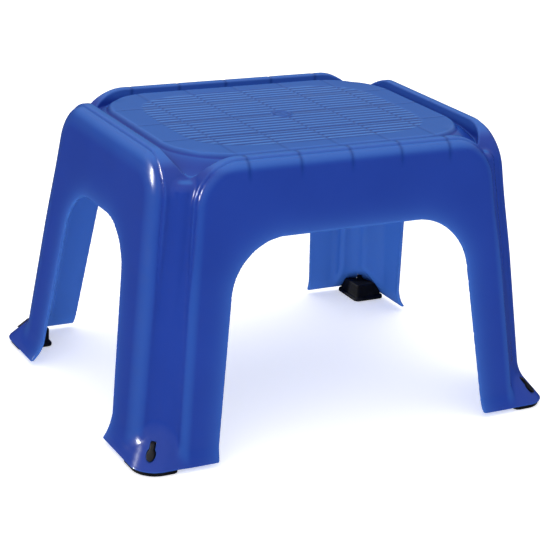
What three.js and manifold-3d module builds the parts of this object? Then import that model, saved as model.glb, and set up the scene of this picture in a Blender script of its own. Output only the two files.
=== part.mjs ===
// One-tread plastic mounting block: a thin moulded body on four pressed-in rubber feet.
// Millimetres, +Z up. X is the long side, -Y is the front, and the feet stand on Z = 0.
import * as THREE from 'three';
import { mergeVertices } from 'three/addons/utils/BufferGeometryUtils.js';
import Module from 'manifold-3d';

const wasm = await Module();
wasm.setup();

// ---- Driving dimensions. Heights are measured from the body's bottom edge. ----
const footDrop = 4;                    // how far the rubber stands below the body
const wall = 2.8;
const bodyHeight = 241.7;

// The two pairs of side panels lean in as they rise. Each is an arch with a rolled outer edge.
const frontPanel = {
  faceAtBottom: 158.2, lean: 0.143,    // distance of the face from the middle, and draft
  halfWidth: 155, sideLean: 0.103, cornerRadius: 31.5,
  rollWidth: 7.5, rollDepth: 7,
  archHalfWidth: 129.1, archLean: 0.1244, archHeight: 176.4, archRadius: 44,
};
const endPanel = {
  faceAtBottom: 191.4, lean: 0.112,
  halfWidth: 125.5, sideLean: 0.12, cornerRadius: 30,
  rollWidth: 8, rollDepth: 12,
  archHalfWidth: 85.5, archLean: 0.164, archHeight: 173, archRadius: 36,
};

// Behind the panels, a core with rounded corners shows as a flute down every leg.
const core = { endSetback: 15, frontSetback: 12, cornerRadius: 14, height: 222 };
const toe = { halfLength: 200, halfDepth: 163.2, cornerRadius: 22, height: 24, slope: 0.9 };

// The tread is a raised pad inside a groove that runs round behind the panels.
const groove = { halfLength: 149, halfDepth: 112, cornerRadius: 34, floor: 231 };
const tread = { halfLength: 139, halfDepth: 102, cornerRadius: 55, height: 239, edge: 2 };
const grip = { count: 23, pitch: 7.3, slotWidth: 2.6, slotDepth: 0.9, halfLength: 116, halfDepth: 86 };
const stiffener = { thickness: 2, bottom: 228, lengthwisePitch: 47.2, lengthwiseCount: 5, crossPitch: 50 };

const foot = {
  innerX: 164, outerX: 197.5, innerY: 122, outerY: 161.2, outerRadius: 20, innerRadius: 5,
  plugHeight: 13, plugInset: 2.5, edge: 0.8,
};
const keyhole = { holeRadius: 4, holeHeight: 10.5, slotWidth: 4.6, slotTop: 18.5 };
const clearance = 0.35;
const tailProud = 1.4;
const overrun = 60;                    // how far a cut runs past the surface that it opens

const blue = new THREE.MeshStandardMaterial({ color: 0x2440a0, roughness: 0.25, metalness: 0 });
const black = new THREE.MeshStandardMaterial({ color: 0x101014, roughness: 0.7, metalness: 0 });

// ---- Solids ----
function toSolid(geometry) {
  const plain = geometry.clone();
  plain.deleteAttribute('normal');
  plain.deleteAttribute('uv');
  const merged = mergeVertices(plain, 1e-4);
  return new wasm.Manifold(new wasm.Mesh({
    numProp: 3,
    vertProperties: new Float32Array(merged.attributes.position.array),
    triVerts: new Uint32Array(merged.index.array),
  }));
}

function toMesh(name, solid, material) {
  const { vertProperties, triVerts } = solid.getMesh();
  const geometry = new THREE.BufferGeometry();
  geometry.setAttribute('position', new THREE.BufferAttribute(vertProperties, 3));
  geometry.setIndex(new THREE.BufferAttribute(triVerts, 1));
  geometry.computeVertexNormals();
  const mesh = new THREE.Mesh(geometry, material);
  mesh.name = name;
  return mesh;
}

function box(low, high) {
  const size = new THREE.Vector3().subVectors(high, low);
  const middle = new THREE.Vector3().addVectors(low, high).multiplyScalar(0.5);
  return new THREE.BoxGeometry(size.x, size.y, size.z).translate(middle.x, middle.y, middle.z);
}

function slab(halfX, halfY, bottom, top) {
  return box(new THREE.Vector3(-halfX, -halfY, bottom), new THREE.Vector3(halfX, halfY, top));
}

function roundedRectangle(halfX, halfY, radius) {
  const shape = new THREE.Shape();
  shape.moveTo(halfX, -halfY + radius);
  shape.absarc(halfX - radius, halfY - radius, radius, 0, Math.PI / 2);
  shape.absarc(-halfX + radius, halfY - radius, radius, Math.PI / 2, Math.PI);
  shape.absarc(-halfX + radius, -halfY + radius, radius, Math.PI, 1.5 * Math.PI);
  shape.absarc(halfX - radius, -halfY + radius, radius, 1.5 * Math.PI, 2 * Math.PI);
  return shape;
}

// An outline with leaning sides and two round top corners, from `bottom` up to `top`.
function leaningOutline(halfWidth, lean, bottom, top, radius) {
  const sideAngle = Math.atan(lean);
  const side = (height) => halfWidth - lean * height;
  const centreZ = top - radius;
  const centreX = side(centreZ) - radius / Math.cos(sideAngle);
  const shape = new THREE.Shape();
  shape.moveTo(-side(bottom), bottom);
  shape.lineTo(side(bottom), bottom);
  shape.absarc(centreX, centreZ, radius, sideAngle, Math.PI / 2);
  shape.absarc(-centreX, centreZ, radius, Math.PI / 2, Math.PI - sideAngle);
  return shape;
}

function lean(geometry, leanX, leanY) {
  const position = geometry.attributes.position;
  for (let i = 0; i < position.count; i += 1) {
    const z = position.getZ(i);
    position.setX(i, position.getX(i) * (1 - leanX * z));
    position.setY(i, position.getY(i) * (1 - leanY * z));
  }
  return geometry;
}

// Stands an outline drawn across and up, so that it runs through the block front to back.
function frontToBack(geometry) {
  return geometry.rotateX(Math.PI / 2);
}

function endToEnd(geometry) {
  return geometry.rotateX(Math.PI / 2).rotateZ(Math.PI / 2);
}

// ---- The body's outer form, moved in everywhere by `inset` ----
function panelBlock(panel, inset) {
  const bottom = inset > 0 ? -overrun : 0;
  const face = panel.faceAtBottom - inset;
  const outline = leaningOutline(
    panel.halfWidth - inset, panel.sideLean, bottom, bodyHeight - panel.rollWidth - inset,
    panel.cornerRadius - inset);
  const geometry = new THREE.ExtrudeGeometry(outline, {
    depth: 2 * (face - panel.rollDepth), bevelThickness: panel.rollDepth,
    bevelSize: panel.rollWidth, bevelSegments: 3, curveSegments: 7,
  });
  return geometry.translate(0, 0, -(face - panel.rollDepth));
}

function coreBlock(inset) {
  const outline = roundedRectangle(
    endPanel.faceAtBottom - core.endSetback - inset,
    frontPanel.faceAtBottom - core.frontSetback - inset,
    core.cornerRadius - inset);
  const bottom = -overrun;
  const geometry = new THREE.ExtrudeGeometry(outline, {
    depth: core.height - inset - bottom, bevelEnabled: false, curveSegments: 5,
  });
  return lean(geometry.translate(0, 0, bottom),
    endPanel.lean / endPanel.faceAtBottom, frontPanel.lean / frontPanel.faceAtBottom);
}

function toeBlock(inset) {
  const along = inset * Math.hypot(1, toe.slope);
  const outline = roundedRectangle(toe.halfLength - along, toe.halfDepth - along, toe.cornerRadius);
  const geometry = new THREE.ExtrudeGeometry(outline, {
    depth: toe.height, bevelEnabled: false, curveSegments: 6,
  });
  return lean(geometry, toe.slope / toe.halfLength, toe.slope / toe.halfDepth);
}

function treadPad(inset) {
  const outline = roundedRectangle(
    tread.halfLength - tread.edge - inset, tread.halfDepth - tread.edge - inset,
    tread.cornerRadius - inset);
  const geometry = new THREE.ExtrudeGeometry(outline, {
    depth: tread.height - inset - core.height + 3 * wall, bevelThickness: tread.edge,
    bevelSize: tread.edge, bevelSegments: 2, curveSegments: 8,
  });
  return geometry.translate(0, 0, core.height - 3 * wall - tread.edge);
}

function groovePocket(inset) {
  const outline = roundedRectangle(
    groove.halfLength + inset, groove.halfDepth + inset, groove.cornerRadius);
  const geometry = new THREE.ExtrudeGeometry(outline, {
    depth: bodyHeight, bevelEnabled: false, curveSegments: 6,
  });
  return geometry.translate(0, 0, groove.floor - inset);
}

function bodyForm(inset) {
  const front = frontPanel.lean / frontPanel.faceAtBottom;
  const end = endPanel.lean / endPanel.faceAtBottom;
  const block = toSolid(lean(frontToBack(panelBlock(frontPanel, inset)), 0, front))
    .add(toSolid(lean(endToEnd(panelBlock(endPanel, inset)), end, 0)))
    .add(toSolid(coreBlock(inset)))
    .subtract(toSolid(groovePocket(inset)))
    .add(toSolid(treadPad(inset)))
    .add(toSolid(toeBlock(inset)));
  return block;
}

// ---- Cuts and stiffening ----
function archTunnel(panel, reach) {
  const outline = leaningOutline(
    panel.archHalfWidth, panel.archLean, -overrun, panel.archHeight, panel.archRadius);
  const geometry = new THREE.ExtrudeGeometry(outline, {
    depth: 2 * reach, bevelEnabled: false, curveSegments: 8,
  });
  return geometry.translate(0, 0, -reach);
}

function arches() {
  const reach = 2 * toe.halfLength;
  return toSolid(frontToBack(archTunnel(frontPanel, reach)))
    .add(toSolid(endToEnd(archTunnel(endPanel, reach))));
}

function gripSlots() {
  let slots = null;
  for (let i = 0; i < grip.count; i += 1) {
    const y = (i - (grip.count - 1) / 2) * grip.pitch;
    const reach = grip.halfLength * (1 - Math.abs(y / grip.halfDepth) ** 4) ** 0.25;
    const slot = toSolid(slab(reach, grip.slotWidth / 2, tread.height - grip.slotDepth, bodyHeight)
      .translate(0, y, 0));
    slots = slots ? slots.add(slot) : slot;
  }
  return slots;
}

function stiffeners() {
  const half = stiffener.thickness / 2;
  let ribs = null;
  for (let i = 0; i < stiffener.lengthwiseCount; i += 1) {
    const x = (i - (stiffener.lengthwiseCount - 1) / 2) * stiffener.lengthwisePitch;
    const rib = toSolid(slab(half, toe.halfDepth, stiffener.bottom, bodyHeight).translate(x, 0, 0));
    ribs = ribs ? ribs.add(rib) : rib;
  }
  for (const y of [-stiffener.crossPitch, 0, stiffener.crossPitch]) {
    ribs = ribs.add(toSolid(slab(toe.halfLength, half, stiffener.bottom, bodyHeight).translate(0, y, 0)));
  }
  return ribs.intersect(bodyForm(wall / 2));
}

// Each foot's own corner is at +X +Y here, and is mirrored to the other three.
const tailAngle = THREE.MathUtils.degToRad(52);
const toeCorner = {
  x: toe.halfLength - toe.cornerRadius,
  y: toe.halfDepth - toe.cornerRadius,
};

function keyholeCut(shrink) {
  const reach = 3 * toe.cornerRadius;
  const hole = new THREE.CylinderGeometry(
    keyhole.holeRadius - shrink, keyhole.holeRadius - shrink, reach, 12);
  hole.rotateZ(Math.PI / 2).translate(0, 0, keyhole.holeHeight);
  const halfSlot = keyhole.slotWidth / 2 - shrink;
  const slot = box(
    new THREE.Vector3(-reach / 2, -halfSlot, keyhole.holeHeight),
    new THREE.Vector3(reach / 2, halfSlot, keyhole.slotTop - shrink));
  const place = (geometry) => toSolid(
    geometry.rotateZ(tailAngle).translate(toeCorner.x, toeCorner.y, 0));
  return place(hole).add(place(slot));
}

function footPad() {
  const f = foot;
  const quarter = Math.PI / 2;
  const lowX = f.innerX + f.innerRadius;
  const lowY = f.innerY + f.innerRadius;
  const outline = new THREE.Shape();
  outline.moveTo(f.outerX, lowY);
  outline.absarc(f.outerX - f.outerRadius, f.outerY - f.outerRadius, f.outerRadius, 0, quarter);
  outline.absarc(lowX, f.outerY - f.innerRadius, f.innerRadius, quarter, 2 * quarter);
  outline.absarc(lowX, lowY, f.innerRadius, 2 * quarter, 3 * quarter);
  outline.absarc(f.outerX - f.innerRadius, lowY, f.innerRadius, 3 * quarter, 4 * quarter);
  const geometry = new THREE.ExtrudeGeometry(outline, {
    depth: footDrop - clearance - 2 * f.edge, bevelThickness: f.edge, bevelSize: f.edge,
    bevelOffset: -f.edge, bevelSegments: 1, curveSegments: 4,
  });
  return toSolid(geometry.translate(0, 0, f.edge - footDrop));
}

function footPlug() {
  const low = new THREE.Vector3(
    foot.innerX + foot.plugInset, foot.innerY + foot.plugInset, -clearance - foot.edge);
  const high = new THREE.Vector3(toe.halfLength, toe.halfDepth, foot.plugHeight);
  return toSolid(box(low, high));
}

function footTail() {
  const inner = new THREE.Vector3(foot.innerX + foot.plugInset, foot.innerY + foot.plugInset, 0);
  const outer = new THREE.Vector3(
    toe.halfLength + overrun, toe.halfDepth + overrun, keyhole.slotTop);
  return keyholeCut(clearance)
    .intersect(toSolid(box(inner, outer)))
    .intersect(bodyForm(-tailProud));
}

function footSolid() {
  const plug = footPlug().intersect(bodyForm(wall + clearance));
  const cap = footPlug().intersect(footPad());
  return footPad().add(plug).add(cap).add(footTail());
}

function mirrored(solid, signX, signY) {
  const flip = [signX, 0, 0, 0, 0, signY, 0, 0, 0, 0, 1, 0, 0, 0, 0, 1];
  return solid.transform(flip);
}

const corners = [
  { name: 'front_left', x: -1, y: -1 },
  { name: 'front_right', x: 1, y: -1 },
  { name: 'rear_left', x: -1, y: 1 },
  { name: 'rear_right', x: 1, y: 1 },
];

function stepBody() {
  const outer = bodyForm(0);
  const reach = toe.halfLength + overrun;
  const below = toSolid(slab(reach, reach, -2 * overrun, 0));
  const keyholeSolid = keyholeCut(0).intersect(toSolid(slab(reach, reach, 0, keyhole.slotTop)));
  let body = outer.subtract(bodyForm(wall))
    .add(stiffeners())
    .subtract(arches())
    .subtract(gripSlots())
    .subtract(below);
  for (const corner of corners) {
    body = body.subtract(mirrored(keyholeSolid, corner.x, corner.y));
  }
  return body;
}

const block = new THREE.Group();
block.position.z = footDrop;
block.add(toMesh('step_body', stepBody(), blue));
const oneFoot = footSolid();
for (const corner of corners) {
  block.add(toMesh(`foot_${corner.name}`, mirrored(oneFoot, corner.x, corner.y), black));
}

export default block;
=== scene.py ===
"""Mounting block: a glossy blue one-tread moulding on four black rubber feet.

Both mouldings are described as distance fields in millimetres, negative inside the plastic, and a
surface net turns each field into a fine quad mesh. Every round, crease and fillet is part of the field.
"""
import math

import bpy
import numpy as np
from mathutils import Matrix, Vector


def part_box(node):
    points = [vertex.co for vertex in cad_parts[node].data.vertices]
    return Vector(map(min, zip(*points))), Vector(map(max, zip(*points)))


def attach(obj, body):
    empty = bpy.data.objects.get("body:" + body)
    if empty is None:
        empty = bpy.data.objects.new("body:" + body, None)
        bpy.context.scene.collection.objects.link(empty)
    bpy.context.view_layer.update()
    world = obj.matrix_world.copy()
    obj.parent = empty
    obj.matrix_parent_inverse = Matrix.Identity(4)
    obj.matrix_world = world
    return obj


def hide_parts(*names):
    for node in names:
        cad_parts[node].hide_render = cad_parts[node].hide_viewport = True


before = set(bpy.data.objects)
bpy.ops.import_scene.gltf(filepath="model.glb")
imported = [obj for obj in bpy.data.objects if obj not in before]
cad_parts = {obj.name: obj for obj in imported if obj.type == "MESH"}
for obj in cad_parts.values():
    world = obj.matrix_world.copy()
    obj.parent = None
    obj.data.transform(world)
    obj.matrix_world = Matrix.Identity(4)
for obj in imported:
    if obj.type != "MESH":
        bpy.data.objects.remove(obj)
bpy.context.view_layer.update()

MM = 0.001
body_low, body_high = (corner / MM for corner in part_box("step_body"))

# ---- Driving dimensions, in millimetres. Heights are measured from the body's bottom edge. ----
BASE = body_low.z                      # height of the body's bottom edge over the floor
HEIGHT = body_high.z - body_low.z
TOE_X, TOE_Y = body_high.x, body_high.y
WALL = 2.8
EDGE = 0.9                             # rounding of every cut edge

# Each pair of panels: the flat face, its leaning outline, the rolled edge round it and the arch in it.
FRONT = dict(
    face=TOE_Y - 2.8, lean=0.1515, half_width=163.0, side_lean=0.103, corner=37.0,
    step=2.4, roll_wide=8.5, roll_deep=4.4, bead_deep=4.7, bead_round=2.2,
    arch_half=129.1, arch_lean=0.1244, arch_top=176.4, arch_corner=44.0)
END = dict(
    face=TOE_X - 7.3, lean=0.114, half_width=133.5, side_lean=0.120, corner=36.0,
    step=2.6, roll_wide=21.0, roll_deep=8.0, bead_deep=8.4, bead_round=2.4,
    arch_half=85.5, arch_lean=0.164, arch_top=173.0, arch_corner=38.0)
ARCH_TURN = dict(width=9.0, depth=0.5)        # beside an arch the face turns in a little
CREASE = 0.5                                  # fillet between a panel's roll and its bead
JOIN = 3.0                                    # fillet where panels and flutes meet
BEAD_FADE = dict(bottom=120.0, height=70.0)   # below this the raised bead is gone and only the roll is left
SOFTER = dict(bottom=60.0, height=130.0, fillet=7.0)   # the fillets grow towards the toes
INSIDE_BLEND = 0.2                            # fillets inside the wall, as a share of those outside

CORE = dict(setback_x=15.0, setback_y=12.0, corner=14.0, edge=7.0)
TOE = dict(corner=22.0, slope=0.75, top=34.0, edge=2.0, blend=5.0)

TREAD = dict(half_x=139.0, half_y=102.0, corner=55.0, top=239.0, edge=3.0)
ON_TREAD = TREAD["top"] - 4.0                 # whatever is higher than this is on the tread's surface
SLOPE = dict(start=-4.0, end=28.0, high=236.5, low=222.0, fillet=2.5)
CREST = dict(half_x=148.5, half_y=111.0, corner=36.0, round=2.0, sunk=1.0)
GRIP = dict(pitch=7.3, depth=1.2, half_x=116.0, half_y=86.0, fade=3.0, sharpness=1.5)

RIB = dict(thickness=2.0, bottom=228.0, pitch_x=47.2, reach_x=2, pitch_y=50.0, reach_y=1,
           edge=0.6, fillet=0.8)
SINK = dict(depth=0.35, width=1.5, reach=22.0, fade=12.0, end_fade=4.0)   # the ribs' marks outside
GATE = dict(ring=7.0, line=1.3, dimple=2.4, depth=0.8, clear=9.5, fade=1.5)   # where plastic was injected
KEYHOLE = dict(angle=math.radians(52), radius=3.9, height=10.6, slot=4.6, top=18.5, start=-2.0,
               corner=0.8, edge=0.7)

# How strongly painted shade, highlights and glow show in the plastic's colour, from 0 to 1, and how wide
# they are.
DARKER = dict(groove=0.9, gate=0.5, deck_mark=0.25, grip_mark=0.35, edge_mark=0.6)
PALER = dict(roll=0.2, roll_fade=2.0, rim=0.4, rim_inset=1.0, rim_width=1.5)
GLOW = dict(strength=0.5, reach=7.0, crest=12.0, crest_fade=8.0, crest_inset=1.0)


# ---- Joining distances ----
def round_corner(a, b, radius):
    """Inside both a and b, with the corner between them rounded."""
    outside = np.hypot(np.maximum(a + radius, 0), np.maximum(b + radius, 0))
    return np.minimum(np.maximum(a, b), -radius) + outside


def oval_corner(a, b, radius_a, radius_b):
    """Inside both a and b, with a quarter of an ellipse between them."""
    share_a = np.maximum(a / radius_a + 1, 1e-6)
    share_b = np.maximum(b / radius_b + 1, 1e-6)
    size = np.hypot(share_a, share_b)
    oval = (size - 1) * size / np.hypot(share_a / radius_a, share_b / radius_b)
    return np.where((a > -radius_a) & (b > -radius_b), oval, np.maximum(a, b))


def fillet(a, b, radius):
    """Inside either a or b, with a fillet between them."""
    inside = np.hypot(np.maximum(radius - a, 0), np.maximum(radius - b, 0))
    return np.maximum(np.minimum(a, b), radius) - inside


def cut(solid, tool, radius):
    return round_corner(solid, -tool, radius)


def slab(across, low, high):
    """Distance outside the space between two planes."""
    return np.abs(across - (low + high) / 2) - (high - low) / 2


def ease(t):
    """0 to 1 with level ends as t goes from 0 to 1."""
    t = np.clip(t, 0, 1)
    return t * t * (3 - 2 * t)


def outline(across, z, half_width, lean, top, corner):
    """Distance outside an outline with leaning sides and round top corners."""
    side = (across - half_width + lean * z) / math.hypot(1, lean)
    return round_corner(side, z - top, corner)


# ---- The body ----
def arch(across, z, p):
    """Distance outside a panel's arch."""
    return outline(across, z, p["arch_half"], p["arch_lean"], p["arch_top"], p["arch_corner"])


def panel_distances(across, outward, z, p):
    """Distances outside a panel's outline and in front of its face, which turns in beside the arch."""
    rim = outline(across, z, p["half_width"], p["side_lean"], HEIGHT, p["corner"])
    turn = ARCH_TURN["depth"] * np.clip(1 - arch(across, z, p) / ARCH_TURN["width"], 0, 1) ** 2
    face = (outward - p["face"] + p["lean"] * z) / math.hypot(1, p["lean"]) + turn
    return rim, face


def softness(z):
    """1 low on the legs, where the forms run together, to 0 at the top, where the creases are crisp."""
    return 1 - ease((z - SOFTER["bottom"]) / SOFTER["height"])


def plain_panel(across, outward, z, p):
    """A panel with neither crease nor bead, for the inside of the wall."""
    rim, face = panel_distances(across, outward, z, p)
    return round_corner(rim + p["step"], face, p["roll_wide"])


def panel(across, outward, z, p):
    """One leaning panel: flat face, round-over, narrow crease and a raised bead behind it."""
    rim, face = panel_distances(across, outward, z, p)
    inset = rim + p["step"] * ease((z - BEAD_FADE["bottom"]) / BEAD_FADE["height"])
    roll = oval_corner(inset, face, p["roll_wide"], p["roll_deep"])
    bead = round_corner(rim, face + p["bead_deep"], p["bead_round"])
    return fillet(roll, bead, CREASE)


def tread_edge(x, y):
    """Distance outside the tread pad's outline."""
    return round_corner(x - TREAD["half_x"], y - TREAD["half_y"], TREAD["corner"])


def deck(x, y, z):
    """Distance above the moulding's top inside the crest: the tread, then a slope down to the shelf."""
    away = tread_edge(x, y)
    pad = round_corner(away, z - TREAD["top"], TREAD["edge"])
    run = SLOPE["end"] - SLOPE["start"]
    share = np.clip((away - SLOPE["start"]) / run, 0, 1)
    height = SLOPE["high"] - (SLOPE["high"] - SLOPE["low"]) * ease(share)
    steepness = 6 * share * (1 - share) * (SLOPE["high"] - SLOPE["low"]) / run
    return fillet(pad, (z - height) / np.hypot(1, steepness), SLOPE["fillet"])


def core_sides(x, y, z):
    """Distance outside the rounded column that shows as a flute down each leg."""
    side_x = x - (END["face"] - CORE["setback_x"]) + END["lean"] * z
    side_y = y - (FRONT["face"] - CORE["setback_y"]) + FRONT["lean"] * z
    return round_corner(side_x, side_y, CORE["corner"])


def toe(x, y, z):
    """Distance outside the flared toe, whose sides all slope alike."""
    slope, corner = TOE["slope"], TOE["corner"]
    side_x = x - TOE_X + slope * z
    side_y = y - TOE_Y + slope * z
    reach_x = np.maximum(side_x + corner, 1e-6)
    reach_y = np.maximum(side_y + corner, 1e-6)
    steepness = slope * (reach_x + reach_y) / np.hypot(reach_x, reach_y)
    side = round_corner(side_x, side_y, corner) / np.hypot(1, steepness)
    return round_corner(side, z - TOE["top"], TOE["edge"])


def body_form(x, y, z, make_panel=panel, blend=1.0):
    """The moulding's outer form, before its arches and keyholes are cut."""
    top = deck(x, y, z)
    panels = fillet(make_panel(x, y, z, FRONT), make_panel(y, x, z, END), JOIN * blend)
    inside_crest = round_corner(x - CREST["half_x"], y - CREST["half_y"], CREST["corner"])
    pocket = np.maximum(inside_crest, -top - CREST["sunk"])
    panels = cut(panels, pocket, CREST["round"])
    column = round_corner(core_sides(x, y, z), top, CORE["edge"])
    legs = fillet(panels, column, (JOIN + SOFTER["fillet"] * softness(z)) * blend)
    return fillet(legs, toe(x, y, z), TOE["blend"] * blend)


def grip_field(x, y, z):
    """0 to 1: the part of the tread that has grip ribs."""
    field = (x / GRIP["half_x"]) ** 4 + (y / GRIP["half_y"]) ** 4
    inside = ease((1 - field ** 0.25) * GRIP["half_y"] / GRIP["fade"])
    round_gate = ease((np.hypot(x, y) - GATE["clear"]) / GATE["fade"])
    return inside * round_gate * (z > ON_TREAD)


def grips(x, y, z):
    """0 to 1: the grooves between the tread's grip ribs."""
    wave = 0.5 - 0.5 * np.cos(2 * np.pi * y / GRIP["pitch"])
    return grip_field(x, y, z) * wave ** GRIP["sharpness"]


def keyhole(x, y, z):
    """The hole through the toe that the foot's tail fills, along a level line out through the corner."""
    sine, cosine = math.sin(KEYHOLE["angle"]), math.cos(KEYHOLE["angle"])
    side = (x - TOE_X + TOE["corner"]) * sine - (y - TOE_Y + TOE["corner"]) * cosine
    along = (x - TOE_X + TOE["corner"]) * cosine + (y - TOE_Y + TOE["corner"]) * sine
    hole = np.hypot(side, z - KEYHOLE["height"]) - KEYHOLE["radius"]
    level = slab(z, KEYHOLE["height"], KEYHOLE["top"])
    slot = round_corner(np.abs(side) - KEYHOLE["slot"] / 2, level, KEYHOLE["corner"])
    return np.maximum(np.minimum(hole, slot), KEYHOLE["start"] - along)


def rib_distances(x, y):
    """Distance to the middle of the nearest rib along y, and of the nearest rib along x."""
    nearest_x = RIB["pitch_x"] * np.minimum(np.round(x / RIB["pitch_x"]), RIB["reach_x"])
    nearest_y = RIB["pitch_y"] * np.minimum(np.round(y / RIB["pitch_y"]), RIB["reach_y"])
    return np.abs(x - nearest_x), np.abs(y - nearest_y)


def ribs(x, y, z):
    """The stiffening ribs under the deck."""
    sheet = np.minimum(*rib_distances(x, y)) - RIB["thickness"] / 2
    return round_corner(sheet, RIB["bottom"] - z, RIB["edge"])


def sinks(x, y, z):
    """0 to 1: how far the skin has shrunk in over the ribs, on the deck and its front and back edges."""
    along_y, along_x = rib_distances(x, y)
    on_deck = ease((TREAD["half_x"] - x) / SINK["end_fade"])
    lines_along_y = np.exp(-(along_y / SINK["width"]) ** 2)
    lines_along_x = np.exp(-(along_x / SINK["width"]) ** 2)
    height = ease((z - HEIGHT + SINK["reach"]) / SINK["fade"])
    return height * np.maximum(lines_along_y, on_deck * lines_along_x)


def gate(x, y, z):
    """0 to 1: the gate mark in the middle of the tread, a dimple in a ring."""
    radius = np.hypot(x, y)
    ring = np.exp(-((radius - GATE["ring"]) / GATE["line"]) ** 2)
    return np.maximum(ring, np.exp(-(radius / GATE["dimple"]) ** 2)) * (z > ON_TREAD)


def shell(x, y, z):
    """The finished moulding."""
    x, y = np.abs(x), np.abs(y)
    form = body_form(x, y, z)
    hollow = np.maximum(form, body_form(x, y, z, plain_panel, INSIDE_BLEND)) + WALL
    relief = GRIP["depth"] * grips(x, y, z) + SINK["depth"] * sinks(x, y, z)
    relief = np.maximum(relief, GATE["depth"] * gate(x, y, z))
    skin = np.maximum(form + relief, -hollow)
    inner_ribs = np.maximum(ribs(x, y, z), hollow - WALL / 2)
    skin = fillet(skin, inner_ribs, RIB["fillet"])
    skin = cut(skin, arch(x, z, FRONT), EDGE)
    skin = cut(skin, arch(y, z, END), EDGE)
    skin = cut(skin, keyhole(x, y, z), KEYHOLE["edge"])
    return round_corner(skin, -z, EDGE)


# ---- Turning a distance field into a mesh ----
def gradient(field, points, step=0.05):
    """How fast the field grows along each axis, at each point."""
    columns = []
    for axis in range(3):
        ahead, behind = points.copy(), points.copy()
        ahead[:, axis] += step
        behind[:, axis] -= step
        columns.append((field(*ahead.T) - field(*behind.T)) / (2 * step))
    return np.stack(columns, 1)


def cell_points(corners):
    """For each cell's eight corner values, where the surface inside it is, from 0 to 1 on each axis."""
    total = np.zeros((len(corners), 3))
    hits = np.zeros(len(corners))
    for axis in range(3):
        edges = np.moveaxis(corners, axis + 1, 1)
        others = [other for other in range(3) if other != axis]
        for a in (0, 1):
            for b in (0, 1):
                start, end = edges[:, 0, a, b], edges[:, 1, a, b]
                hit = (start < 0) != (end < 0)
                total[hit, axis] += (start / (start - end + 1e-30))[hit]
                total[hit, others[0]] += a
                total[hit, others[1]] += b
                hits += hit
    return total / hits[:, None]


CELL_CORNERS = [(a, b, c) for a in (0, 1) for b in (0, 1) for c in (0, 1)]


def at_corner(array, corner):
    """What the array holds at one of every cell's eight corners."""
    return array[tuple(slice(start, start + size - 1) for start, size in zip(corner, array.shape))]


def crossed_cells(values):
    """Which cells the surface goes through, and the values at their corners."""
    filled = sum(at_corner(values < 0, corner).astype(np.int8) for corner in CELL_CORNERS)
    crossed = (filled > 0) & (filled < len(CELL_CORNERS))
    corners = np.stack([at_corner(values, corner)[crossed] for corner in CELL_CORNERS], 1)
    return crossed, corners.reshape(-1, 2, 2, 2)


def quads_across(solid, index, axis):
    """One quad for each grid edge along the axis that goes through the surface."""
    b, c = (axis + 1) % 3, (axis + 2) % 3
    before = np.take(solid, range(solid.shape[axis] - 1), axis)
    after = np.take(solid, range(1, solid.shape[axis]), axis)
    edge = np.stack(np.nonzero(before != after), 1)
    inner = (edge[:, b] > 0) & (edge[:, c] > 0)
    inner &= (edge[:, b] < solid.shape[b] - 1) & (edge[:, c] < solid.shape[c] - 1)
    edge = edge[inner]
    ring = []
    for back_b, back_c in ((1, 1), (0, 1), (0, 0), (1, 0)):
        cell = edge.copy()
        cell[:, b] -= back_b
        cell[:, c] -= back_c
        ring.append(index[tuple(cell.T)])
    ring = np.stack(ring, 1)
    inward = ~before[tuple(edge.T)]
    ring[inward] = ring[inward][:, ::-1]
    return ring


def surface_net(field, lines):
    """Points and quads of the surface where field is 0, and the corners of each point's grid cell."""
    values = np.stack([field(x, lines[1][:, None], lines[2][None, :]) for x in lines[0]])
    crossed, corners = crossed_cells(values)
    where = np.stack(np.nonzero(crossed), 1)
    index = np.full(crossed.shape, -1)
    index[crossed] = np.arange(len(where))
    low = np.stack([lines[axis][where[:, axis]] for axis in range(3)], 1)
    high = np.stack([lines[axis][where[:, axis] + 1] for axis in range(3)], 1)
    points = low + cell_points(corners) * (high - low)
    quads = np.concatenate([quads_across(values < 0, index, axis) for axis in range(3)])
    return points, quads, low, high


def settle(field, points, low, high, rounds=4):
    """Moves each point onto the surface, staying close to its own cell."""
    slack = 0.35 * (high - low)
    for _ in range(rounds):
        slope = gradient(field, points)
        distance = field(*points.T)
        step = distance / np.maximum((slope ** 2).sum(1), 0.25)
        points = np.clip(points - step[:, None] * slope, low - slack, high + slack)
    return points


def meshed(field, *lines):
    """Points and quads of the field's surface, on the grid whose planes are at lines."""
    points, quads, low, high = surface_net(field, lines)
    return settle(field, points, low, high), quads


def mirror(points, quads, axis):
    """Adds the mirror image across the plane where axis is 0, sharing the points on that plane."""
    shared = np.abs(points[:, axis]) < 1e-5
    points[shared, axis] = 0
    index = np.arange(len(points))
    index[~shared] = len(points) + np.arange((~shared).sum())
    image = points[~shared].copy()
    image[:, axis] *= -1
    return np.concatenate([points, image]), np.concatenate([quads, index[quads][:, ::-1]])


def spaced(start, stops):
    """Grid lines from start: each stop is (where the stretch ends, spacing in it)."""
    lines = [start]
    for end, spacing in stops:
        count = max(1, round((end - lines[-1]) / spacing))
        lines.extend(np.linspace(lines[-1], end, count + 1)[1:])
    return np.array(lines)


def mirrored_lines(spacing, stops):
    """Grid lines for one half, whose first cell has its middle on the mirror plane."""
    return np.concatenate([[-spacing / 2], spaced(spacing / 2, stops)])


# ---- Where painted shade, highlights and glow change the body's colour ----
def on_outside(x, y, z):
    """Whether points are on the outer side of the wall."""
    return body_form(x, y, z) > -WALL / 2


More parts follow.
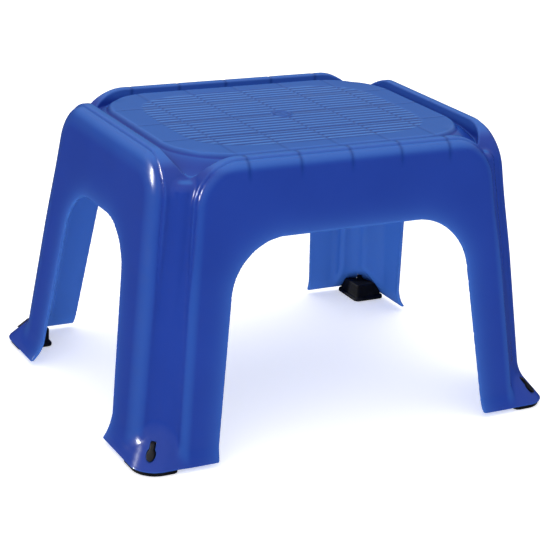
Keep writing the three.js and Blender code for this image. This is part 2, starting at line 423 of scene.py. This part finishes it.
def painted_shade(x, y, z):
    """0 to 1: painted shade, in the grip grooves, in the gate mark and over the ribs."""
    x, y = np.abs(x), np.abs(y)
    deck_mark = DARKER["deck_mark"] + DARKER["grip_mark"] * grip_field(x, y, z)
    over_ribs = np.where(y > TREAD["half_y"] + SINK["end_fade"], DARKER["edge_mark"], deck_mark)
    grooves = np.maximum(DARKER["groove"] * grips(x, y, z), DARKER["gate"] * gate(x, y, z))
    return on_outside(x, y, z) * np.maximum(grooves, over_ribs * sinks(x, y, z))


def on_roll(across, outward, z, p):
    """0 to 1: how near the middle of a panel's rolled edge is, for points on that panel."""
    rim, face = panel_distances(across, outward, z, p)
    wide = np.clip(1 + rim / p["roll_wide"], 0, 1)
    deep = np.clip(1 + face / p["roll_deep"], 0, 1)
    off_panel = panel(across, outward, z, p) / PALER["roll_fade"]
    return np.minimum(2 * wide * deep, 1) * np.exp(-off_panel ** 2)


def painted_highlights(x, y, z):
    """0 to 1: painted highlights, paler on the grip ribs' tops, the panels' rolled edges and the tread's
    rim.
    """
    x, y = np.abs(x), np.abs(y)
    rolls = np.maximum(on_roll(x, y, z, FRONT), on_roll(y, x, z, END))
    off_rim = (tread_edge(x, y) + PALER["rim_inset"]) / PALER["rim_width"]
    rim = np.exp(-off_rim ** 2) * (z > SLOPE["high"])
    grip_tops = grip_field(x, y, z) * (1 - grips(x, y, z)) ** 2
    edges = np.maximum(PALER["roll"] * rolls, PALER["rim"] * rim)
    return on_outside(x, y, z) * np.maximum(edges, grip_tops)


def thinning(x, y, z):
    """0 to 1: painted glow where light comes through, on the inside, in the crest and by the arches' cut
    edges.
    """
    x, y = np.abs(x), np.abs(y)
    to_edge = np.minimum(np.abs(arch(x, z, FRONT)), np.abs(arch(y, z, END)))
    inside_crest = round_corner(x - CREST["half_x"], y - CREST["half_y"], CREST["corner"])
    high = ease((z - HEIGHT + GLOW["crest"]) / GLOW["crest_fade"])
    crest = (inside_crest > -GLOW["crest_inset"]) * high
    glow = GLOW["strength"] * np.maximum(np.exp(-to_edge / GLOW["reach"]), crest)
    return np.maximum(glow, body_form(x, y, z) < -WALL / 2)


# ---- Pieces ----
def write_attribute(mesh, name, values):
    """Stores a number for each of the mesh's points, for a material to read."""
    attribute = mesh.attributes.new(name, "FLOAT", "POINT")
    attribute.data.foreach_set("value", values.astype(np.float32))


def make_piece(name, field, points, quads, material, node, slot_name):
    """A smooth mesh object in metres, with its normals taken from the field."""
    slope = gradient(field, points)
    normals = slope / np.maximum(np.linalg.norm(slope, axis=1, keepdims=True), 1e-9)
    mesh = bpy.data.meshes.new(name)
    placed = points.copy()
    placed[:, 2] += BASE
    mesh.from_pydata((placed * MM).tolist(), [], quads.tolist())
    mesh.shade_smooth()
    mesh.normals_split_custom_set_from_vertices(normals.tolist())
    mesh.materials.append(material)
    piece = bpy.data.objects.new(name, mesh)
    bpy.context.scene.collection.objects.link(piece)
    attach(piece, "root")
    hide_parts(node)
    return piece


def body_mesh():
    """A quarter of the body, meshed and mirrored. Its grid steps divide the rib pitches evenly."""
    step = RIB["pitch_x"] / 32
    grip_step = GRIP["pitch"] / 6
    fine = 0.8
    margin = 3.0
    toe_x, toe_y = TOE_X - TOE["corner"] - 2, TOE_Y - TOE["corner"] - 2
    x_lines = mirrored_lines(step, [(toe_x, step), (TOE_X + margin, fine)])
    y_lines = mirrored_lines(
        grip_step, [(GRIP["half_y"] + 4, grip_step), (toe_y, step), (TOE_Y + margin, fine)])
    z_lines = spaced(-2.2, [(KEYHOLE["top"] + margin, fine), (RIB["bottom"], step), (HEIGHT + 1.5, 1.0)])
    points, quads = meshed(shell, x_lines, y_lines, z_lines)
    for axis in (0, 1):
        points, quads = mirror(points, quads, axis)
    return points, quads


# ---- The rubber feet ----
FOOT = dict(inner_x=164.0, outer_x=197.5, inner_y=122.0, outer_y=161.2, outer_corner=20.0,
            inner_corner=5.0, edge=1.1, gap=0.35, plug_inset=2.5, plug_low=-1.0, plug_top=13.0,
            plug_edge=1.0, proud=1.3, tail_edge=0.6, plug_fillet=0.8, tail_fillet=0.5)


def foot(x, y, z):
    """One foot: a pad below the toe, a plug inside it and a tail that fills the keyhole."""
    x, y = np.abs(x), np.abs(y)
    outer = round_corner(x - FOOT["outer_x"], y - FOOT["outer_y"], FOOT["outer_corner"])
    inner = round_corner(FOOT["inner_x"] - x, FOOT["inner_y"] - y, FOOT["inner_corner"])
    plan = round_corner(outer, inner, FOOT["inner_corner"])
    pad = round_corner(plan, slab(z, -BASE, -FOOT["gap"]), FOOT["edge"])
    form = body_form(x, y, z)
    level = slab(z, FOOT["plug_low"], FOOT["plug_top"])
    sides = round_corner(plan + FOOT["plug_inset"], level, FOOT["plug_edge"])
    plug = round_corner(form + WALL + FOOT["gap"], sides, FOOT["plug_edge"])
    tail = round_corner(keyhole(x, y, z) + FOOT["gap"], form - FOOT["proud"], FOOT["tail_edge"])
    return fillet(fillet(pad, plug, FOOT["plug_fillet"]), tail, FOOT["tail_fillet"])


def foot_mesh(side_x, side_y):
    """The foot for one corner, which is +1 or -1 along each axis."""
    step = 0.9
    before, after = 3.0, 6.0
    x_lines = spaced(FOOT["inner_x"] - before, [(TOE_X + after, step)])
    y_lines = spaced(FOOT["inner_y"] - before, [(TOE_Y + after, step)])
    z_lines = spaced(-BASE - 2, [(KEYHOLE["top"] + before, step)])
    points, quads = meshed(foot, x_lines, y_lines, z_lines)
    if side_x * side_y < 0:
        quads = quads[:, ::-1]
    return points * (side_x, side_y, 1), quads


# ---- Materials ----
# The plastic's pigment with its random clouds, and the colours the marks turn it to: painted glow, a
# painted lighter top, painted highlights, painted shade in grooves and over ribs, paler sharp edges.
BLUE = dict(
    deep=(0.0140, 0.046, 0.315), pale=(0.0160, 0.051, 0.340), thin=(0.060, 0.190, 0.620),
    painted_top_light=(0.012, 0.130, 0.510), painted_highlight_colour=(0.060, 0.225, 0.650), groove=(0.004, 0.030, 0.200),
    edge=(0.05, 0.17, 0.55))


def principled(name, colour, roughness):
    material = bpy.data.materials.new(name)
    material.use_nodes = True
    shader = material.node_tree.nodes["Principled BSDF"]
    shader.inputs["Base Color"].default_value = (*colour, 1)
    shader.inputs["Roughness"].default_value = roughness
    return material, shader


def noise(tree, scale, detail, stretch=(1, 1, 1)):
    """Noise fixed to the object, with its scale in patches per metre."""
    place = tree.nodes.new("ShaderNodeTexCoord")
    mapping = tree.nodes.new("ShaderNodeMapping")
    mapping.inputs["Scale"].default_value = stretch
    texture = tree.nodes.new("ShaderNodeTexNoise")
    texture.inputs["Scale"].default_value = scale
    texture.inputs["Detail"].default_value = detail
    tree.links.new(place.outputs["Object"], mapping.inputs["Vector"])
    tree.links.new(mapping.outputs["Vector"], texture.inputs["Vector"])
    return texture.outputs["Fac"]


def spread(tree, value, low, high, from_low=0.3, from_high=0.7):
    """Turns from_low..from_high into low..high."""
    node = tree.nodes.new("ShaderNodeMapRange")
    node.inputs["From Min"].default_value = from_low
    node.inputs["From Max"].default_value = from_high
    node.inputs["To Min"].default_value = low
    node.inputs["To Max"].default_value = high
    tree.links.new(value, node.inputs["Value"])
    return node.outputs["Result"]


def mixed(tree, share, first, second):
    """A colour that goes from first to second; either may be a colour or an output."""
    node = tree.nodes.new("ShaderNodeMix")
    node.data_type = "RGBA"
    colour_a, colour_b, result = node.inputs[6], node.inputs[7], node.outputs[2]
    tree.links.new(share, node.inputs["Factor"])
    for socket, value in ((colour_a, first), (colour_b, second)):
        if isinstance(value, tuple):
            socket.default_value = (*value, 1)
        else:
            tree.links.new(value, socket)
    return result


def bump(tree, shader, height, strength, distance, under=None):
    """Gives the shader a bump; under is the normal of a coarser one to lay it on."""
    node = tree.nodes.new("ShaderNodeBump")
    node.inputs["Strength"].default_value = strength
    node.inputs["Distance"].default_value = distance
    tree.links.new(height, node.inputs["Height"])
    if under:
        tree.links.new(under, node.inputs["Normal"])
    tree.links.new(node.outputs["Normal"], shader.inputs["Normal"])
    return node.outputs["Normal"]


def attribute(tree, name):
    node = tree.nodes.new("ShaderNodeAttribute")
    node.attribute_name = name
    return node.outputs["Fac"]


def blue_plastic():
    """Glossy moulded polypropylene: pigment clouds, polish marks, paler sharp edges, a painted lighter top,
    painted highlights, painted shade and a painted glow.
    """
    material, shader = principled("body_plastic", (0.015, 0.047, 0.3), 0.22)
    tree = material.node_tree
    shader.inputs["Specular IOR Level"].default_value = 0.24
    shader.inputs["IOR"].default_value = 1.49
    clouds = spread(tree, noise(tree, 14, 3), 0, 1)
    colour = mixed(tree, clouds, BLUE["deep"], BLUE["pale"])
    # Painted glow: a paler blue where light comes through the plastic, and all over the inside.
    colour = mixed(tree, attribute(tree, "thinning"), colour, BLUE["thin"])
    geometry = tree.nodes.new("ShaderNodeNewGeometry")
    facing = tree.nodes.new("ShaderNodeSeparateXYZ")
    tree.links.new(geometry.outputs["Normal"], facing.inputs["Vector"])
    # Painted light: faces that point up are painted a lighter blue, where the light from above falls.
    painted_top_light = spread(tree, facing.outputs["Z"], 0, 0.75, 0.82, 1.0)
    colour = mixed(tree, painted_top_light, colour, BLUE["painted_top_light"])
    # Painted highlights: a paler blue on the rolled edges, the tread's rim and the grip ribs' tops.
    colour = mixed(tree, attribute(tree, "painted_highlights"), colour, BLUE["painted_highlight_colour"])
    # Painted shade: a deeper blue in the grooves, in the gate mark and along the lines over the ribs.
    colour = mixed(tree, attribute(tree, "painted_shade"), colour, BLUE["groove"])
    edges = spread(tree, geometry.outputs["Pointiness"], 0, 0.6, 0.52, 0.60)
    colour = mixed(tree, edges, colour, BLUE["edge"])
    tree.links.new(colour, shader.inputs["Base Color"])
    scuffs = spread(tree, noise(tree, 260, 4, (1, 0.12, 1)), 0.17, 0.27, 0.35, 0.75)
    tree.links.new(scuffs, shader.inputs["Roughness"])
    waves = bump(tree, shader, noise(tree, 28, 1), 0.2, 0.0006)
    bump(tree, shader, noise(tree, 900, 2), 0.06, 0.0002, waves)
    return material


def black_rubber():
    """Moulded rubber: nearly black, dull, with a fine grain and a trace of dust."""
    material, shader = principled("foot_rubber", (0.006, 0.006, 0.010), 0.6)
    shader.inputs["Specular IOR Level"].default_value = 0.2
    tree = material.node_tree
    dust = spread(tree, noise(tree, 120, 5), 0, 1, 0.5, 0.8)
    black = mixed(tree, dust, (0.004, 0.004, 0.008), (0.012, 0.012, 0.016))
    tree.links.new(black, shader.inputs["Base Color"])
    tree.links.new(spread(tree, noise(tree, 300, 3), 0.5, 0.75), shader.inputs["Roughness"])
    bump(tree, shader, noise(tree, 1800, 3), 0.35, 0.0002)
    return material


def pale_floor():
    """Dull and nearly white, and faintly glowing so that shadows on it stay light."""
    material, shader = principled("floor", (0.92, 0.92, 0.92), 0.8)
    tree = material.node_tree
    tint = spread(tree, noise(tree, 3, 2), 0, 1)
    colour = mixed(tree, tint, (0.91, 0.91, 0.915), (0.93, 0.93, 0.93))
    tree.links.new(colour, shader.inputs["Base Color"])
    shader.inputs["Specular IOR Level"].default_value = 0.1
    shader.inputs["Emission Color"].default_value = (1, 1, 1, 1)
    shader.inputs["Emission Strength"].default_value = 0.5
    return material


# ---- Stage, lights and camera ----
FLOOR_REACH = 6.0                             # metres from the middle, each way
LIGHT_AIM = Vector((0, 0, 0.15))


def make_floor():
    """A plain square that reflections don't see, so the upright faces keep their own colour."""
    reach = FLOOR_REACH
    corners = [(-reach, -reach, 0), (reach, -reach, 0), (reach, reach, 0), (-reach, reach, 0)]
    mesh = bpy.data.meshes.new("floor")
    mesh.from_pydata(corners, [], [(0, 1, 2, 3)])
    mesh.materials.append(pale_floor())
    floor = bpy.data.objects.new("floor", mesh)
    bpy.context.scene.collection.objects.link(floor)
    floor.visible_glossy = False


def make_light(name, direction, distance, size, watts, diffuse=True, glossy=True):
    """An area light aimed at the object, which may be left out of diffuse shading or of reflections."""
    lamp = bpy.data.lights.new(name, "AREA")
    lamp.shape = "RECTANGLE"
    lamp.size, lamp.size_y = size
    lamp.energy = watts
    light = bpy.data.objects.new(name, lamp)
    towards = Vector(direction).normalized()
    light.location = LIGHT_AIM + towards * distance
    light.rotation_euler = towards.to_track_quat("Z", "Y").to_euler()
    light.visible_diffuse = diffuse
    light.visible_glossy = glossy
    bpy.context.scene.collection.objects.link(light)


def make_world(colour, strength):
    """A pale surround that fades towards the horizon, so upright faces reflect little. The camera sees it
    at full strength."""
    world = bpy.data.worlds.new("studio")
    world.use_nodes = True
    tree = world.node_tree
    place = tree.nodes.new("ShaderNodeTexCoord")
    split = tree.nodes.new("ShaderNodeSeparateXYZ")
    tree.links.new(place.outputs["Generated"], split.inputs["Vector"])
    seen = tree.nodes.new("ShaderNodeLightPath")
    brighter = tree.nodes.new("ShaderNodeMath")
    brighter.operation = "MAXIMUM"
    tree.links.new(spread(tree, split.outputs["Z"], 0.05, strength, 0.1, 0.85), brighter.inputs[0])
    tree.links.new(seen.outputs["Is Camera Ray"], brighter.inputs[1])
    background = tree.nodes["Background"]
    background.inputs["Color"].default_value = (*colour, 1)
    tree.links.new(brighter.outputs["Value"], background.inputs["Strength"])
    bpy.context.scene.world = world


CAMERA = dict(azimuth=28.70, elevation=20.09, roll=3.08, distance=1.561,
              aim=(0.0016, 0, 0.0928), lens=113.1, sensor=36)


def make_camera():
    """The photograph's view: from the front left, a little above the tread."""
    azimuth, elevation, roll = (math.radians(CAMERA[key]) for key in ("azimuth", "elevation", "roll"))
    back = Vector((-math.sin(azimuth) * math.cos(elevation),
                   -math.cos(azimuth) * math.cos(elevation), math.sin(elevation)))
    right = Vector((math.cos(azimuth), -math.sin(azimuth), 0))
    up = back.cross(right)
    turned_right = math.cos(roll) * right + math.sin(roll) * up
    turned_up = math.cos(roll) * up - math.sin(roll) * right
    camera = bpy.data.objects.new("camera", bpy.data.cameras.new("camera"))
    camera.data.lens = CAMERA["lens"]
    camera.data.sensor_width = CAMERA["sensor"]
    turn = Matrix((turned_right, turned_up, back)).transposed().to_4x4()
    camera.matrix_world = Matrix.Translation(Vector(CAMERA["aim"]) + back * CAMERA["distance"]) @ turn
    bpy.context.scene.collection.objects.link(camera)
    bpy.context.scene.camera = camera


def make_studio():
    """Pale floor and surround, a small strip light for the glints and two soft lights."""
    make_floor()
    make_world((0.98, 0.99, 1.0), 1.05)
    make_light("rim", (-0.87, 0.36, 0.36), 2.2, (0.14, 0.7), 85, diffuse=False)
    make_light("overhead", (0.1, 0.25, 1.0), 2.4, (2.4, 2.4), 15, glossy=False)
    make_light("fill", (-0.75, -0.65, 0.45), 3.0, (2.0, 1.4), 20, glossy=False)
    bpy.context.scene.view_settings.view_transform = "Standard"


# ---- Making everything ----
make_camera()
make_studio()

plastic = blue_plastic()
body_points, body_quads = body_mesh()
step_shell = make_piece("step_shell", shell, body_points, body_quads, plastic, "step_body", "body_plastic")
# Painted shade, painted highlights and painted glow, stored on the body's points for its material.
for mark_name, mark in (("painted_shade", painted_shade), ("painted_highlights", painted_highlights), ("thinning", thinning)):
    write_attribute(step_shell.data, mark_name, mark(*body_points.T))

rubber = black_rubber()
for end_name, side_y in (("front", -1), ("rear", 1)):
    for side_name, side_x in (("left", -1), ("right", 1)):
        corner_name = f"{end_name}_{side_name}"
        make_piece(f"rubber_{corner_name}", foot, *foot_mesh(side_x, side_y), rubber,
                   f"foot_{corner_name}", "foot_rubber")
